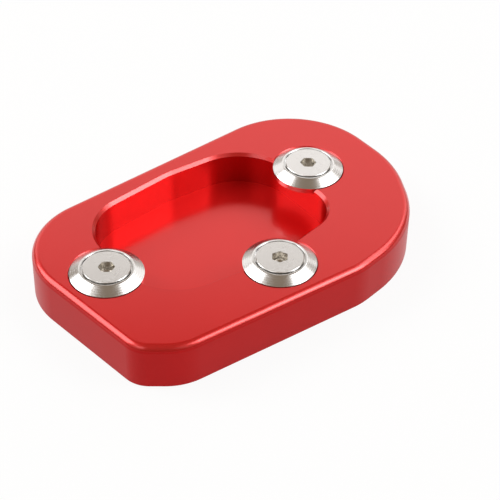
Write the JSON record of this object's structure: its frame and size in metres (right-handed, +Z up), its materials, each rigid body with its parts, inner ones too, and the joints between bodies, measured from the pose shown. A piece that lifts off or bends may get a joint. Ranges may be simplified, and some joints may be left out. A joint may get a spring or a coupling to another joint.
{
  "type": "kickstand foot enlarger",
  "caption": "Rounded metal plate that widens a motorbike side stand's foot, with a pocket for the foot and conical washers under countersunk screws that clamp over its edge.",
  "frame": {"origin": "middle of the bounding box at the plate's flat underside", "axes": "+X along the plate's length towards its wide round end, +Y across it towards the side without a screw, +Z up, out of the pocket"},
  "size_m": [0.0792, 0.0518, 0.0114],
  "materials": {
    "red_anodised": "milled aluminium, anodised glossy red",
    "turned_aluminium": "finely turned, bright",
    "stainless_steel": "plain stainless steel, finely turned head"
  },
  "bodies": {
    "root": {"base_plate": "red_anodised", "washer_left": "turned_aluminium", "washer_front": "turned_aluminium", "washer_right": "turned_aluminium", "screw_left": "stainless_steel", "screw_front": "stainless_steel", "screw_right": "stainless_steel"}
  },
  "joints": []
}
